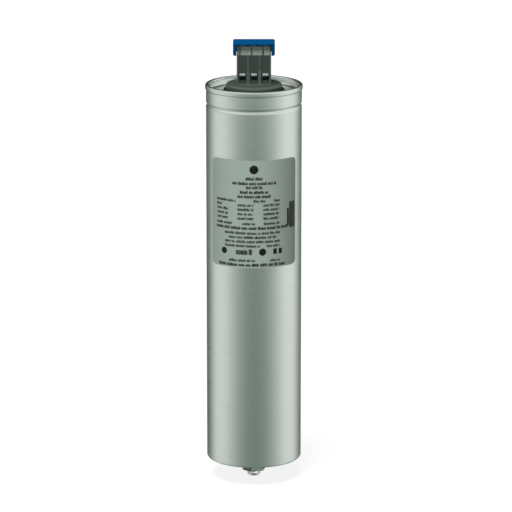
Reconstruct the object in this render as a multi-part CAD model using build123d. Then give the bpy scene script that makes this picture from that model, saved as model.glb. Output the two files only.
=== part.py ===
from build123d import *
from math import acos, cos, pi, radians, sin, sqrt, tan
import os

# A three-phase capacitor for power factor correction: an aluminium can with a stud below, three
# film rolls inside, and a clamp terminal with a discharge-resistor module on top.
# Millimetres. +Z runs up the can, the origin is the middle of the can's flat bottom, and the
# cable openings of the terminal face -Y.

# Can, with its stud, expansion bead and rolled rim in one piece
can_diameter = 85.0
can_height = 343.2
can_wall = 0.8
can_floor = 2.0
can_corner = 1.6
floor_corner = 1.0
bead_below_top = 17.8
bead_depth = 1.0
bead_lip = 1.5
bead_groove = 1.8
rim_step = 0.8
rim_step_radius = 1.2
rim_roll_radius = 1.65
rim_neck = 2.0

# Stud with its slimmer run-in end, nut and toothed washer, size M12
stud_diameter = 12.0
stud_length = 18.7
stud_chamfer = 0.4
stud_tip_diameter = 11.4
stud_tip_length = 4.0
nut_across_flats = 19.0
nut_height = 10.8
nut_chamfer = 0.7
nut_turn = 19.0
thread_gap = 0.05
washer_height = 2.9
washer_thickness = 1.0
washer_outer_diameter = 20.5
washer_body_diameter = 16.8
washer_bore_gap = 0.4
washer_teeth = 10
tooth_width = 2.9
tooth_twist = 52.0

# Lid and its gasket, held by the rolled rim
lid_recess = 6.6
lid_thickness = 0.9
lid_wall_gap = 0.2
lid_wall_lean = 12.0
lid_corner = 2.4
gasket_thickness = 0.5
gasket_lap = 2.5

# Round base of the terminal block, its seal and the ring that holds it to the lid
base_diameter = 50.0
base_wall = 2.5
base_shoulder = 2.2
seal_diameter = 54.0
seal_thickness = 2.3
neck_diameter = 34.6
neck_below_lid = 7.0
neck_gap = 0.15
platform_radius = 18.8
platform_height = 1.35
platform_corner = 0.4
ring_wall = 4.05
ring_height = 4.0
ring_notches = 8
ring_notch_width = 4.0
ring_notch_depth = 1.6

# Tower with one cable chamber for each phase
phases = 3
phase_pitch = 10.15
chamber_width = 7.0
tower_side_wall = 1.55
tower_depth = 20.0
tower_height = 26.4
tower_corner = 0.8
front_wall = 1.5
chamber_floor = 3.0
chamber_depth = 11.5
chamber_height = 14.4
mouth_height = 7.4
mouth_corner = 0.7
rib_depth = 1.2
rib_round = 0.6
rib_top_width = 1.6
rib_foot_width = 4.4
rib_taper_top = 13.9
rib_taper_end = 10.7
rib_flare_top = 4.9
latch_width = 12.0
latch_notch_depth = 1.2
latch_notch_height = 2.2
latch_notch_below_top = 7.0

# Contact strip, clamp cage and clamp screw of one phase
strip_width = 5.0
strip_thickness = 1.2
strip_lip_height = 2.2
strip_lip_lean = 12.0
strip_lip_setback = 0.6
strip_above_floor = 5.1
strip_leg_behind_middle = 5.0
strip_below_neck = 1.6
cage_wall = 0.7
cage_roof = 1.6
cage_height = 10.9
cage_depth = 8.5
cage_gap = 0.15
cage_behind_front = 4.0
screw_diameter = 4.0
screw_head_diameter = 5.2
screw_head_height = 2.6
screw_shank = 9.0
screw_slot_width = 0.9
screw_slot_depth = 1.2
screw_shaft_gap = 0.3

# Discharge-resistor module: ceramic block, three leads and the blue hood
block_height = 7.7
block_setback = 2.2
block_depth = 14.0
block_end_gap = 0.1
block_chamfer = 1.0
lead_slot_width = 1.3
lead_slot_depth = 1.3
lead_side_offset = 2.1
lead_diameter = 1.1
lead_bend = 0.9
lead_top_run = 4.0
lead_gap = 0.05
lead_hole_gap = 0.25
hood_gap = 0.3
hood_cheek = 2.95
hood_overhang = 1.4
hood_plate = 1.8
hood_head_room = 1.5
hood_back_wall = 1.5
hood_below_tower_top = 0.3
hood_top_corner = 0.9
hood_side_corner = 2.0
hood_foot_corner = 1.5
hood_pad = 3.0
latch_thickness = 1.5
latch_nose = 1.0
latch_nose_height = 1.4
latch_gap = 0.2

# Film rolls, stacked, each between its two metal-sprayed ends
lead_channel_gap = 0.3
core_diameter = 13.0
core_wall = 1.5
spray_thickness = 0.7
roll_gap = 1.8
insulator_thickness = 2.0
insulator_lip = 6.5
jacket_thickness = 0.4
jacket_gap = 0.6

# Holder that grips the inner leads below the bead
holder_thickness = 2.0
holder_under_bead = 0.3
holder_room = 8.0
holder_foot_diameter = 6.0
holder_foot_radius = 30.0
holder_feet = 4
holder_foot_turn = 45.0

# Inner leads, bare at both ends, with a weak waist between holder and terminal
wire_diameter = 1.6
sleeve_diameter = 2.6
wire_bend = 3.0
wire_hole_gap = 0.1
wire_reach = 14.0
wire_contact_gap = 0.05
waist_diameter = 0.9
waist_length = 1.0

# Rating label on the front of the can
label_arc_width = 88.0
label_height = 97.0
label_bottom = 185.3
label_thickness = 0.15
label_glue = 0.2
label_corner = 3.5

# How far a cutting shape runs past the face that it opens
cut_margin = 1.0

# Levels along Z and radii that several pieces share
can_radius = can_diameter / 2
can_inner_radius = can_radius - can_wall
rim_radius = can_radius + rim_step
curl_level = can_height - rim_roll_radius
bead_level = can_height - bead_below_top
lid_top = can_height - lid_recess
lid_bottom = lid_top - lid_thickness
neck_radius = neck_diameter / 2
base_radius = base_diameter / 2
base_bottom = lid_top + seal_thickness
base_top = base_bottom + base_wall + base_shoulder
neck_bottom = lid_bottom - neck_below_lid
tower_width = (phases - 1) * phase_pitch + chamber_width + 2 * tower_side_wall
tower_front = -tower_depth / 2
tower_top = base_top + tower_height
floor_level = base_top + chamber_floor
strip_level = floor_level + strip_above_floor
strip_top = strip_level + strip_thickness
strip_foot = neck_bottom - strip_below_neck
leg_middle = strip_leg_behind_middle + strip_thickness / 2
cage_front = tower_front + cage_behind_front
screw_middle = cage_front + cage_depth / 2
block_front = tower_front + block_setback
block_top = tower_top + block_height
lead_middle = block_front + lead_slot_depth - lead_diameter / 2 - lead_gap
hood_top = block_top + hood_head_room + hood_plate
stud_radius = stud_diameter / 2
tip_radius = stud_tip_diameter / 2
phase_places = [(i - (phases - 1) / 2) * phase_pitch for i in range(phases)]


def bend_height(depth, first, second):
    """Height of two tangent arcs that shift an upright line sideways by depth."""
    reach = first + second
    return sqrt(reach**2 - (reach - depth) ** 2)


def side_step(radius, level, shift, first, second):
    """Two tangent arcs that lead an upright line from radius to radius + shift."""
    side = 1 if shift > 0 else -1
    turn = acos(1 - abs(shift) / (first + second))
    end = level + bend_height(abs(shift), first, second)
    near, far = radius + side * first, radius + shift - side * second
    middle = (near - side * first * cos(turn), level + first * sin(turn))
    lower = ThreePointArc(
        (radius, level),
        (near - side * first * cos(turn / 2), level + first * sin(turn / 2)),
        middle,
    )
    upper = ThreePointArc(
        middle,
        (far + side * second * cos(turn / 2), end - second * sin(turn / 2)),
        (radius + shift, end),
    )
    return lower + upper


def turned(outline):
    """Solid of revolution round Z from an outline of (radius, height)."""
    return revolve(Plane.XZ * make_face(outline), Axis.Z)


def turned_ring(inner, outer, low, high):
    """Plain ring with square edges."""
    points = [(inner, low), (outer, low), (outer, high), (inner, high)]
    return turned(Polyline(*points, close=True))


def block(x_range, y_range, z_range):
    """Box between two values along each axis."""
    spans = [x_range, y_range, z_range]
    size = [high - low for low, high in spans]
    centre = [(high + low) / 2 for low, high in spans]
    return Pos(*centre) * Box(*size)


def wall_outline(radius, lip, groove, step_in, step_out):
    """Can wall on one side of the sheet, from the bead's start to the rim's straight part."""
    half = bend_height(bead_depth, bead_lip, bead_groove)
    step = bend_height(rim_step, rim_step_radius, rim_step_radius)
    step_start = curl_level - rim_neck - step
    groove_radius = radius - bead_depth
    curve = side_step(radius, bead_level - half, -bead_depth, lip, groove)
    curve += side_step(groove_radius, bead_level, bead_depth, groove, lip)
    curve += Line((radius, bead_level + half), (radius, step_start))
    curve += side_step(radius, step_start, rim_step, step_in, step_out)
    curve += Line((radius + rim_step, step_start + step), (radius + rim_step, curl_level))
    return curve


def can():
    """Impact-extruded can: floor and stud, bead, step and rolled rim."""
    bead_start = bead_level - bend_height(bead_depth, bead_lip, bead_groove)
    curl_middle = rim_radius - rim_roll_radius
    curl_inside = rim_roll_radius - can_wall
    curl_edge = gasket_top()
    corner_middle = can_corner * (1 - sqrt(0.5))
    tip_level = -stud_length + stud_tip_length
    inner_corner = floor_corner * (1 - sqrt(0.5))
    outline = Polyline(
        (0, can_floor),
        (0, -stud_length),
        (tip_radius - stud_chamfer, -stud_length),
        (tip_radius, -stud_length + stud_chamfer),
        (tip_radius, tip_level),
        (stud_radius, tip_level + stud_radius - tip_radius),
        (stud_radius, 0),
        (can_radius - can_corner, 0),
    )
    outline += ThreePointArc(
        (can_radius - can_corner, 0),
        (can_radius - corner_middle, corner_middle),
        (can_radius, can_corner),
    )
    outline += Line((can_radius, can_corner), (can_radius, bead_start))
    outline += wall_outline(
        can_radius, bead_lip, bead_groove, rim_step_radius, rim_step_radius
    )
    outline += ThreePointArc(
        (rim_radius, curl_level),
        (curl_middle, can_height),
        (curl_middle - rim_roll_radius, curl_level),
    )
    outline += Polyline(
        (curl_middle - rim_roll_radius, curl_level),
        (curl_middle - rim_roll_radius, curl_edge),
        (curl_middle - curl_inside, curl_edge),
        (curl_middle - curl_inside, curl_level),
    )
    outline += ThreePointArc(
        (curl_middle - curl_inside, curl_level),
        (curl_middle, curl_level + curl_inside),
        (curl_middle + curl_inside, curl_level),
    )
    outline += wall_outline(
        can_inner_radius,
        bead_lip - can_wall,
        bead_groove + can_wall,
        rim_step_radius + can_wall,
        rim_step_radius - can_wall,
    )
    outline += Line((can_inner_radius, bead_start), (can_inner_radius, can_floor + floor_corner))
    outline += ThreePointArc(
        (can_inner_radius, can_floor + floor_corner),
        (can_inner_radius - inner_corner, can_floor + inner_corner),
        (can_inner_radius - floor_corner, can_floor),
    )
    outline += Line((can_inner_radius - floor_corner, can_floor), (0, can_floor))
    return turned(outline)


def gasket_top():
    """Level at which the rolled edge presses on the gasket."""
    return curl_level - rim_neck + 2 * gasket_thickness + lid_thickness


def corner_arc(radius, level, corner, lean):
    """Arc round (radius, level) from a leaning wall down to a level panel."""
    half = (pi / 2 + lean) / 2
    return ThreePointArc(
        (radius + corner * cos(lean), level - corner * sin(lean)),
        (radius + corner * cos(half), level - corner * sin(half)),
        (radius, level - corner),
    )


def lid():
    """Drawn lid: flat panel, leaning wall and the flange that the rim grips."""
    hole = neck_radius + neck_gap
    flange_bottom = gasket_top() - gasket_thickness - lid_thickness
    flange_top = flange_bottom + lid_thickness
    flange_radius = can_inner_radius + rim_step - gasket_thickness
    wall_radius = rim_radius - 2 * rim_roll_radius - lid_wall_gap
    lean = radians(lid_wall_lean)
    wall_reach = lid_thickness / cos(lean)
    corner_level = lid_top + lid_corner
    corner_radius = (
        wall_radius - wall_reach - lid_corner / cos(lean) - (flange_bottom - corner_level) * tan(lean)
    )
    upper = corner_arc(corner_radius, corner_level, lid_corner, lean)
    lower = corner_arc(corner_radius, corner_level, lid_corner + lid_thickness, lean)
    outline = upper + Polyline(
        upper @ 0,
        (wall_radius - wall_reach + lid_thickness * tan(lean), flange_top),
        (flange_radius, flange_top),
        (flange_radius, flange_bottom),
        (wall_radius, flange_bottom),
        lower @ 0,
    )
    outline += lower + Polyline(lower @ 1, (hole, lid_bottom), (hole, lid_top), upper @ 1)
    return turned(outline)


def seam_gasket():
    """Rubber ring of U section round the edge of the lid's flange."""
    outer = can_inner_radius + rim_step
    inner = outer - gasket_lap
    top = gasket_top()
    bottom = top - 2 * gasket_thickness - lid_thickness
    ring = turned_ring(inner, outer, bottom, top)
    slot = turned_ring(
        inner - cut_margin, outer - gasket_thickness, bottom + gasket_thickness, top - gasket_thickness
    )
    return ring - slot


def terminal_seal():
    """Rubber ring between the lid and the base, with a rounded outer edge."""
    inner, outer = neck_radius + neck_gap, seal_diameter / 2
    bulge = seal_thickness / 2
    outline = Polyline(
        (outer - bulge, lid_top),
        (inner, lid_top),
        (inner, base_bottom),
        (outer - bulge, base_bottom),
    )
    outline += ThreePointArc(
        (outer - bulge, base_bottom), (outer, lid_top + bulge), (outer - bulge, lid_top)
    )
    return turned(outline)


def terminal_ring():
    """Ring screwed on the neck under the lid, with notches for a wrench."""
    inner = neck_radius + neck_gap
    outer = inner + ring_wall
    ring = turned_ring(inner, outer, lid_bottom - ring_height, lid_bottom)
    notch = block(
        (outer - ring_notch_depth, outer + cut_margin),
        (-ring_notch_width / 2, ring_notch_width / 2),
        (lid_bottom - ring_height - cut_margin, lid_bottom + cut_margin),
    )
    for i in range(ring_notches):
        ring -= Rot(0, 0, 360 / ring_notches * i) * notch
    return ring


def terminal_base():
    """Round base with its shoulder, a platform on top and the neck through the lid."""
    shoulder = base_shoulder * (1 - sqrt(0.5))
    outline = Polyline(
        (base_radius - base_shoulder, base_top),
        (platform_radius, base_top),
        (platform_radius, base_top + platform_height - platform_corner),
        (platform_radius - platform_corner, base_top + platform_height),
        (0, base_top + platform_height),
        (0, neck_bottom),
        (neck_radius, neck_bottom),
        (neck_radius, base_bottom),
        (base_radius, base_bottom),
        (base_radius, base_bottom + base_wall),
    )
    outline += ThreePointArc(
        (base_radius, base_bottom + base_wall),
        (base_radius - shoulder, base_top - shoulder),
        (base_radius - base_shoulder, base_top),
    )
    return turned(outline)


def front_rib(place, top_width, foot_width):
    """Rib on the front between two chambers, wider below and flared at its foot."""
    wall_width = phase_pitch - chamber_width
    half_top, half_wall, half_foot = top_width / 2, wall_width / 2, foot_width / 2
    flare_middle = half_wall + (half_foot - half_wall) / 4
    right = Polyline(
        (half_top, tower_top),
        (half_top, base_top + rib_taper_top),
        (half_wall, base_top + rib_taper_end),
        (half_wall, base_top + rib_flare_top),
    )
    right += ThreePointArc(
        (half_wall, base_top + rib_flare_top),
        (flare_middle, base_top + rib_flare_top / 3),
        (half_foot, base_top),
    )
    outline = right + mirror(right, Plane.YZ)
    outline += Line((-half_top, tower_top), (half_top, tower_top))
    outline += Line((-half_foot, base_top), (half_foot, base_top))
    face = Pos(place, tower_front, 0) * (Plane.XZ * make_face(outline))
    rib = extrude(face, rib_depth)
    front_edges = rib.edges().group_by(Axis.Y)[0]
    rib = fillet(front_edges - front_edges.filter_by(Axis.X), rib_round)
    return rib + extrude(face, -front_wall / 2)


def tower():
    """Upright body of the terminal block, with ribs on its front."""
    half = tower_width / 2
    body = block((-half, half), (tower_front, -tower_front), (base_top, tower_top))
    body = fillet(body.edges().filter_by(Axis.Z), tower_corner)
    for i in range(phases - 1):
        middle = (phase_places[i] + phase_places[i + 1]) / 2
        body += front_rib(middle, rib_top_width, rib_foot_width)
    for side in (-1, 1):
        edge = side * (half - tower_side_wall / 2)
        face = Pos(edge, tower_front) * Rectangle(tower_side_wall, 2 * rib_depth)
        body += Pos(0, 0, base_top) * extrude(face, tower_height)
    return body


def chamber(place):
    """Hollow of one phase: mouth, clamp chamber and the screw's shaft."""
    low, high = place - chamber_width / 2, place + chamber_width / 2
    front_in = tower_front + front_wall
    back = front_in + chamber_depth
    mouth_front = tower_front - rib_depth - cut_margin
    mouth = block((low, high), (mouth_front, back), (floor_level, floor_level + mouth_height))
    mouth = fillet(mouth.edges().filter_by(Axis.Y), mouth_corner)
    room = block((low, high), (front_in, back), (floor_level, floor_level + chamber_height))
    shaft_radius = screw_head_diameter / 2 + screw_shaft_gap
    shaft_bottom = floor_level + chamber_height - cut_margin
    shaft = extrude(
        Pos(place, screw_middle, shaft_bottom) * Circle(shaft_radius), tower_top + cut_margin - shaft_bottom
    )
    hole_radius = lead_diameter / 2 + lead_hole_gap
    lead_hole = extrude(
        Pos(place - lead_side_offset, lead_middle, shaft_bottom) * Circle(hole_radius),
        tower_top + cut_margin - shaft_bottom,
    )
    return mouth + room + shaft + lead_hole


def terminal_block(strips):
    """Moulded base and tower, with the contact strips moulded in."""
    body = terminal_base() + tower()
    for place in phase_places:
        body -= chamber(place)
    notch_top = tower_top - latch_notch_below_top
    body -= block(
        (-latch_width / 2, latch_width / 2),
        (-tower_front - latch_notch_depth, -tower_front + cut_margin),
        (notch_top - latch_notch_height, notch_top),
    )
    for strip in strips:
        body -= strip
    return body


def contact_strip(place):
    """Tinned strip: leaning lip at the mouth, tongue through the cage, leg down the neck."""
    low, high = place - strip_width / 2, place + strip_width / 2
    front = tower_front + strip_lip_setback
    leg_back = strip_leg_behind_middle + strip_thickness
    lip_top = strip_level + strip_lip_height
    lean = strip_lip_height * tan(radians(strip_lip_lean))
    side = Polyline(
        (front, strip_level),
        (front + strip_thickness, strip_level),
        (front + strip_thickness + lean, lip_top),
        (front + lean, lip_top),
        close=True,
    )
    lip = extrude(Plane.YZ.offset(low) * make_face(side), strip_width)
    tongue = block((low, high), (front, leg_back), (strip_level, strip_top))
    leg = block((low, high), (strip_leg_behind_middle, leg_back), (strip_foot, strip_top))
    return lip + tongue + leg


def clamp_cage(place):
    """Steel cage that the screw lifts to press the cable against the strip."""
    half = chamber_width / 2 - cage_gap
    back = cage_front + cage_depth
    top = floor_level + cage_height
    outer = block((place - half, place + half), (cage_front, back), (floor_level, top))
    inner = block(
        (place - half + cage_wall, place + half - cage_wall),
        (cage_front - cut_margin, back + cut_margin),
        (floor_level + cage_wall, top - cage_roof),
    )
    hole_radius = screw_diameter / 2 + thread_gap
    hole_bottom = top - cage_roof - cut_margin
    hole = extrude(
        Pos(place, screw_middle, hole_bottom) * Circle(hole_radius), cage_roof + 2 * cut_margin
    )
    return outer - inner - hole


def clamp_screw(place):
    """Slotted screw through the cage's roof, its tip on the strip."""
    foot = strip_top + wire_contact_gap
    shank = extrude(Circle(screw_diameter / 2), screw_shank)
    head = Pos(0, 0, screw_shank) * extrude(Circle(screw_head_diameter / 2), screw_head_height)
    slot_floor = screw_shank + screw_head_height - screw_slot_depth
    half_slot = screw_slot_width / 2
    slot = block(
        (-screw_head_diameter, screw_head_diameter),
        (-half_slot, half_slot),
        (slot_floor, slot_floor + screw_slot_depth + cut_margin),
    )
    return Pos(place, screw_middle, foot) * (shank + head - slot)


def resistor_block():
    """Ceramic block that holds the discharge resistors, with one slot for each lead."""
    half = tower_width / 2 - block_end_gap
    body = block((-half, half), (block_front, block_front + block_depth), (tower_top, block_top))
    body = chamfer(body.edges().filter_by(Axis.Z), block_chamfer)
    for place in phase_places:
        middle = place - lead_side_offset
        body -= block(
            (middle - lead_slot_width / 2, middle + lead_slot_width / 2),
            (block_front - cut_margin, block_front + lead_slot_depth),
            (tower_top - cut_margin, block_top + cut_margin),
        )
    return body


def resistor_lead(place):
    """Tinned lead: up from the strip, through the slot and over the block."""
    start = place - lead_side_offset
    level = block_top + lead_diameter / 2 + lead_gap
    path = FilletPolyline(
        (start, lead_middle, strip_top + lead_gap),
        (start, lead_middle, level),
        (start + lead_top_run, lead_middle, level),
        radius=lead_bend,
    )
    return sweep(Plane(path @ 0, z_dir=path % 0) * Circle(lead_diameter / 2), path)


def resistor_hood():
    """Blue hood: top plate, two cheeks and a back wall with its latch, open in front."""
    inner_half = tower_width / 2 + hood_gap
    half = inner_half + hood_cheek
    low = tower_top - hood_below_tower_top
    front = tower_front - hood_overhang
    back_in = -tower_front + hood_gap
    back = back_in + hood_back_wall
    body = block((-half, half), (front, back), (low, hood_top))
    body = fillet(body.edges().filter_by(Axis.Z), hood_side_corner)
    top_edges = body.faces().sort_by(Axis.Z)[-1].edges()
    body = fillet(top_edges, hood_top_corner)
    foot_edges = body.edges().filter_by(Axis.Y).group_by(Axis.Z)[0]
    body = fillet(foot_edges, hood_foot_corner)
    body -= block(
        (-inner_half, inner_half), (front - cut_margin, back_in), (low - cut_margin, hood_top - hood_plate)
    )
    for side in (-1, 1):
        pad = side * (inner_half - hood_pad)
        body += block(
            (pad - hood_pad / 2, pad + hood_pad / 2),
            (-hood_pad, hood_pad),
            (block_top, hood_top - hood_plate / 2),
        )
    return body + hood_latch(back_in, low)


def hood_latch(back_in, low):
    """Tongue below the hood's back wall, with the nose that snaps into the tower."""
    half = latch_width / 2 - latch_gap
    nose_top = tower_top - latch_notch_below_top - latch_gap
    nose_bottom = nose_top - latch_nose_height
    tongue = block((-half, half), (back_in, back_in + latch_thickness), (nose_bottom, low + cut_margin))
    nose = block(
        (-half, half), (back_in - hood_gap - latch_nose, back_in), (nose_bottom, nose_top)
    )
    return tongue + nose


def hex_nut():
    """Hexagon nut with both ends chamfered, turned as it stands on the stud."""
    corner = nut_across_flats / sqrt(3)
    prism = extrude(RegularPolygon(corner, 6), nut_height)
    flat = nut_across_flats / 2
    outline = Polyline(
        (0, 0),
        (flat, 0),
        (corner + cut_margin, nut_chamfer),
        (corner + cut_margin, nut_height - nut_chamfer),
        (flat, nut_height),
        (0, nut_height),
        close=True,
    )
    prism &= turned(outline)
    prism -= extrude(Circle(stud_radius + thread_gap), nut_height)
    return Pos(0, 0, -washer_height - nut_height) * Rot(0, 0, nut_turn) * prism


def lock_washer():
    """External-tooth lock washer: flat ring with twisted teeth that bite on both sides."""
    middle = -washer_height / 2
    half = washer_thickness / 2
    bore = stud_radius + washer_bore_gap
    body_radius = washer_body_diameter / 2
    ring = turned_ring(bore, body_radius, middle - half, middle + half)
    outer = washer_outer_diameter / 2
    root = body_radius - washer_thickness / 2
    tooth = Box(outer - root, tooth_width, washer_thickness)
    tooth = Pos((outer + root) / 2, 0, middle) * Rot(tooth_twist, 0, 0) * tooth
    limit = turned_ring(bore, outer, -washer_height, 0)
    for i in range(washer_teeth):
        ring += (Rot(0, 0, 360 / washer_teeth * i) * tooth) & limit
    return ring


def stack_levels():
    """Film width, the low level of each roll, and the top of the stack."""
    bottom = can_floor + insulator_thickness + roll_gap
    bead_start = bead_level - bend_height(bead_depth, bead_lip, bead_groove)
    holder_top = bead_start - holder_under_bead
    top = holder_top - holder_thickness - holder_room - insulator_thickness - roll_gap
    roll_length = (top - bottom - (phases - 1) * roll_gap) / phases
    lows = [bottom + i * (roll_length + roll_gap) for i in range(phases)]
    return roll_length - 2 * spray_thickness, lows, top


film_width, roll_lows, stack_top = stack_levels()
core_radius = core_diameter / 2
jacket_outer = can_inner_radius - jacket_gap
jacket_inner = jacket_outer - jacket_thickness
roll_radius = jacket_inner - sleeve_diameter - 2 * lead_channel_gap
insulator_top = stack_top + roll_gap + insulator_thickness
holder_bottom = insulator_top + holder_room
holder_top = holder_bottom + holder_thickness


def film_roll(low):
    """Wound metallised film as one solid, without its turns."""
    start = low + spray_thickness
    return turned_ring(core_radius, roll_radius, start, start + film_width)


def end_spray(low):
    """Zinc sprayed on one end of a roll."""
    return turned_ring(core_radius, roll_radius, low, low + spray_thickness)


def core_tube(low):
    """Plastic tube on which a roll is wound."""
    length = film_width + 2 * spray_thickness
    return turned_ring(core_radius - core_wall, core_radius, low, low + length)


def spacer_ring(low, gate_turn, gate_offset):
    """Insulating ring between two rolls, with a gate for the lead that enters there."""
    ring = turned_ring(roll_radius - insulator_lip, roll_radius, low, low + roll_gap)
    half = sleeve_diameter / 2 + wire_hole_gap
    gate = block(
        (0, can_radius), (gate_offset - half, gate_offset + half), (low, low + roll_gap)
    )
    return ring - Rot(0, 0, gate_turn) * gate


def bottom_insulator():
    """Insulating dish on the can's floor, with a lip that carries the lowest roll."""
    top = can_floor + insulator_thickness
    disc_radius = can_inner_radius - floor_corner
    disc = turned_ring(0, disc_radius, can_floor, top)
    return disc + turned_ring(roll_radius - insulator_lip, roll_radius, top, top + roll_gap)


def top_insulator():
    """Insulating disc on the highest roll, with a lip below and a hole for the first lead."""
    top = insulator_top
    disc = turned_ring(0, roll_radius, top - insulator_thickness, top)
    lip_low = top - insulator_thickness - roll_gap
    disc += turned_ring(roll_radius - insulator_lip, roll_radius, lip_low, lip_low + roll_gap)
    hole_radius = sleeve_diameter / 2 + wire_hole_gap
    hole = Pos(phase_places[0], leg_middle, lip_low) * Circle(hole_radius)
    return disc - extrude(hole, roll_gap + insulator_thickness)


def film_jacket():
    """Film wrapped round the whole stack."""
    bottom = can_floor + insulator_thickness
    return turned_ring(jacket_inner, jacket_outer, bottom, holder_bottom)


def lead_holder():
    """Plate on four feet below the bead, with a tight hole for each inner lead."""
    plate = turned_ring(0, jacket_outer, holder_bottom, holder_top)
    foot = Pos(holder_foot_radius, 0, insulator_top) * extrude(
        Circle(holder_foot_diameter / 2), holder_room
    )
    for i in range(holder_feet):
        plate += Rot(0, 0, holder_foot_turn + 360 / holder_feet * i) * foot
    hole_radius = sleeve_diameter / 2 + wire_hole_gap
    for place in phase_places:
        hole = Pos(place, leg_middle, holder_bottom) * Circle(hole_radius)
        plate -= extrude(hole, holder_thickness)
    return plate


def wire_along(points, diameter, bend=wire_bend):
    """Round wire along straight runs joined by arcs."""
    if len(points) == 2:
        path = Line(*points)
    else:
        path = FilletPolyline(*points, radius=bend)
    return sweep(Plane(path @ 0, z_dir=path % 0) * Circle(diameter / 2), path)


def lead_head(place):
    """Bare upper end of an inner lead, with its weak waist, above the holder."""
    upright = strip_foot - holder_top
    radius, waist = wire_diameter / 2, waist_diameter / 2
    low = (upright - waist_length) / 2
    points = [
        (0, 0),
        (radius, 0),
        (radius, low),
        (waist, low),
        (waist, low + waist_length),
        (radius, low + waist_length),
        (radius, upright),
        (0, upright),
    ]
    return Pos(place, leg_middle, holder_top) * turned(Polyline(*points, close=True))


def first_lead():
    """Inner lead that runs straight down on the highest sprayed end."""
    place = phase_places[0]
    foot = stack_top + wire_contact_gap
    sleeve_end = foot + roll_gap
    sleeve = wire_along(
        [(place, leg_middle, holder_top), (place, leg_middle, sleeve_end)], sleeve_diameter
    )
    tip = wire_along([(place, leg_middle, sleeve_end), (place, leg_middle, foot)], wire_diameter)
    return lead_head(place) + sleeve + tip


def side_lead(place, direction, gap_level):
    """Inner lead that runs out over the stack, down its side and in between two rolls."""
    along = Vector(*direction)
    start = Vector(place, leg_middle, 0)
    side_radius = roll_radius + lead_channel_gap + sleeve_diameter / 2
    start_along = start.dot(along)
    across = start - along * start_along
    reach = sqrt(side_radius**2 - across.length**2) - start_along
    turn_level = insulator_top + holder_room / 2
    end_level = gap_level + roll_gap / 2
    edge_bend = side_radius - roll_radius - wire_contact_gap
    sleeve_end = end_level + 2 * edge_bend
    outer = start + along * reach
    inner = outer - along * wire_reach
    sleeve_points = [
        (start.X, start.Y, holder_top),
        (start.X, start.Y, turn_level),
        (outer.X, outer.Y, turn_level),
        (outer.X, outer.Y, sleeve_end),
    ]
    tip_points = [
        (outer.X, outer.Y, sleeve_end),
        (outer.X, outer.Y, end_level),
        (inner.X, inner.Y, end_level),
    ]
    sleeve = wire_along(sleeve_points, sleeve_diameter)
    tip = wire_along(tip_points, wire_diameter, edge_bend)
    return lead_head(place) + sleeve + tip


def core_link():
    """Wire through the core tubes that joins the lowest and the highest sprayed end."""
    radius = wire_diameter / 2
    low = roll_lows[0] - radius - wire_contact_gap
    high = stack_top + radius + wire_contact_gap
    points = [(wire_reach, 0, low), (0, 0, low), (0, 0, high), (wire_reach, 0, high)]
    return wire_along(points, wire_diameter)


def rating_label():
    """Bare film label with rounded corners on the front of the can."""
    half_angle = label_arc_width / can_radius / 2
    half_chord = can_radius * sin(half_angle)
    inner = can_radius + label_glue
    outer = inner + label_thickness
    shell = turned_ring(inner, outer, label_bottom, label_bottom + label_height)
    middle = label_bottom + label_height / 2
    outline = RectangleRounded(2 * half_chord, label_height, label_corner)
    window = extrude(Plane.XZ * Pos(0, middle) * outline, outer + cut_margin)
    return shell & window


def save(name, piece):
    """Write one node's STEP file."""
    export_step(piece, f"parts/{name}.step")


def main():
    os.makedirs("parts", exist_ok=True)
    save("can", can())
    save("lid", lid())
    save("seam_gasket", seam_gasket())
    save("terminal_seal", terminal_seal())
    save("terminal_ring", terminal_ring())
    strips = [contact_strip(place) for place in phase_places]
    save("terminal_block", terminal_block(strips))
    for number, (place, strip) in enumerate(zip(phase_places, strips), start=1):
        save(f"contact_strip_{number}", strip)
        save(f"clamp_cage_{number}", clamp_cage(place))
        save(f"clamp_screw_{number}", clamp_screw(place))
        save(f"resistor_lead_{number}", resistor_lead(place))
    save("resistor_block", resistor_block())
    save("resistor_hood", resistor_hood())
    save("hex_nut", hex_nut())
    save("lock_washer", lock_washer())
    roll_length = film_width + 2 * spray_thickness
    for number, low in enumerate(roll_lows, start=1):
        save(f"film_roll_{number}", film_roll(low))
        save(f"core_tube_{number}", core_tube(low))
        save(f"end_spray_{number}_low", end_spray(low))
        save(f"end_spray_{number}_high", end_spray(low + roll_length - spray_thickness))
    save("spacer_ring_1", spacer_ring(roll_lows[1] - roll_gap, 0, leg_middle))
    save("spacer_ring_2", spacer_ring(roll_lows[2] - roll_gap, 90, 0))
    save("bottom_insulator", bottom_insulator())
    save("top_insulator", top_insulator())
    save("film_jacket", film_jacket())
    save("lead_holder", lead_holder())
    save("inner_lead_1", first_lead())
    save("inner_lead_2", side_lead(phase_places[1], (0, 1, 0), roll_lows[2] - roll_gap))
    save("inner_lead_3", side_lead(phase_places[2], (1, 0, 0), roll_lows[1] - roll_gap))
    save("core_link", core_link())
    save("rating_label", rating_label())


main()
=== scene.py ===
import math
import random

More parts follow.
